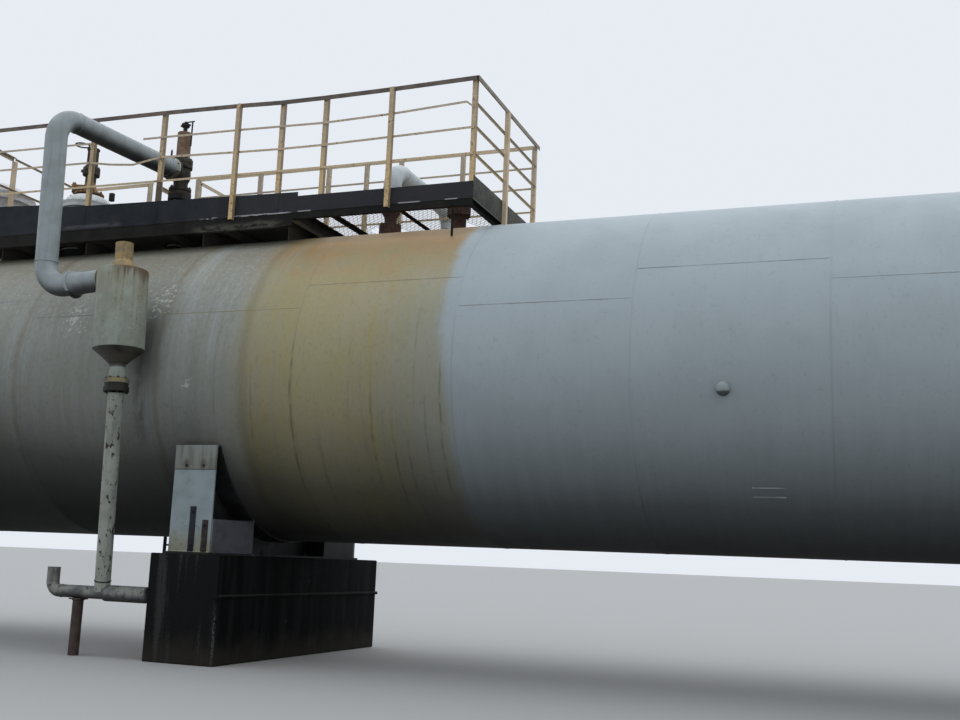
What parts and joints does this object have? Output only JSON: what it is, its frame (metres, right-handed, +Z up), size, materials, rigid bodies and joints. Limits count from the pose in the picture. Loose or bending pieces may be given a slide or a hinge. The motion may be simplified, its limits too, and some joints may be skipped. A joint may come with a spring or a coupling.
{
  "type": "horizontal gas storage tank",
  "caption": "Horizontal cylindrical steel gas storage tank with dished ends on two saddles and black piers, with a railed top platform, relief valves and a swan-neck vent line.",
  "frame": {"origin": "on the ground under the middle of the left pier, the one at the platform end", "axes": "+X along the tank, away from the platform end; +Y across it, away from the vent line; +Z up"},
  "size_m": [25.6043, 3.7383, 5.6903],
  "materials": {
    "shell_west": "weathered grey-green paint, streaked and flaking",
    "shell_stained": "grey paint, ochre rust stain at its left part and fresh pale grey-blue paint right of it",
    "shell_fresh": "fresh pale grey-blue paint, matte",
    "saddle_paint": "pale grey-blue paint, rust at the foot",
    "pier_coating": "black bitumen coating on concrete, streaked",
    "black_steel": "black paint, worn",
    "frame_black": "near-black slate paint, dusty and rusted",
    "rail_ochre": "ochre-yellow paint, rust-worn",
    "rust_iron": "rusty brown casting",
    "dark_iron": "dark slate paint with rust",
    "line_paint": "pale grey-blue paint",
    "olive_paint": "grey-green paint with rust streaks",
    "pale_paint": "off-white paint, chipped to dark specks"
  },
  "bodies": {
    "root": {"shell_section_1": "shell_west", "head_left": "shell_west", "shell_section_2": "shell_stained", "shell_section_3": "shell_fresh", "shell_section_4": "shell_fresh", "head_right": "shell_fresh", "shell_boss": "shell_fresh", "saddle_pad_left": "saddle_paint", "saddle_frame_left": "saddle_paint", "saddle_pad_right": "saddle_paint", "saddle_frame_right": "saddle_paint", "pier_left": "pier_coating", "pier_right": "pier_coating", "earth_strap_tall": "black_steel", "earth_strap_short": "black_steel", "frame_left": "frame_black", "frame_right": "frame_black", "cradle_1": "frame_black", "cradle_2": "frame_black", "cradle_3": "frame_black", "cradle_4": "frame_black", "landing_floor": "frame_black", "ladder": "frame_black", "deck_left": "frame_black", "deck_right": "frame_black", "toe_near_left": "frame_black", "toe_near_right": "frame_black", "toe_far_left": "frame_black", "toe_far_right": "frame_black", "toe_right_end": "frame_black", "toe_left_end": "frame_black", "railing_near": "rail_ochre", "railing_far_right": "rail_ochre", "railing_far_left": "rail_ochre", "railing_right_end": "rail_ochre", "railing_left_end": "rail_ochre", "landing_rail_left": "rail_ochre", "landing_rail_right": "rail_ochre", "drum_vent": "rail_ochre", "relief_valve_left": "rust_iron", "nozzle_a": "rust_iron", "nozzle_b": "rust_iron", "header_stand": "rust_iron", "relief_valve_right": "dark_iron", "nozzle_b_cover": "dark_iron", "relief_line": "line_paint", "gas_riser": "line_paint", "drip_drum": "olive_paint", "drum_flange": "olive_paint", "dome_neck": "pale_paint", "dome_cover": "pale_paint", "manhole_neck": "pale_paint", "manhole_cover": "pale_paint", "valve_nozzle": "pale_paint", "drain_pipe": "pale_paint", "header": "pale_paint"}
  },
  "joints": []
}
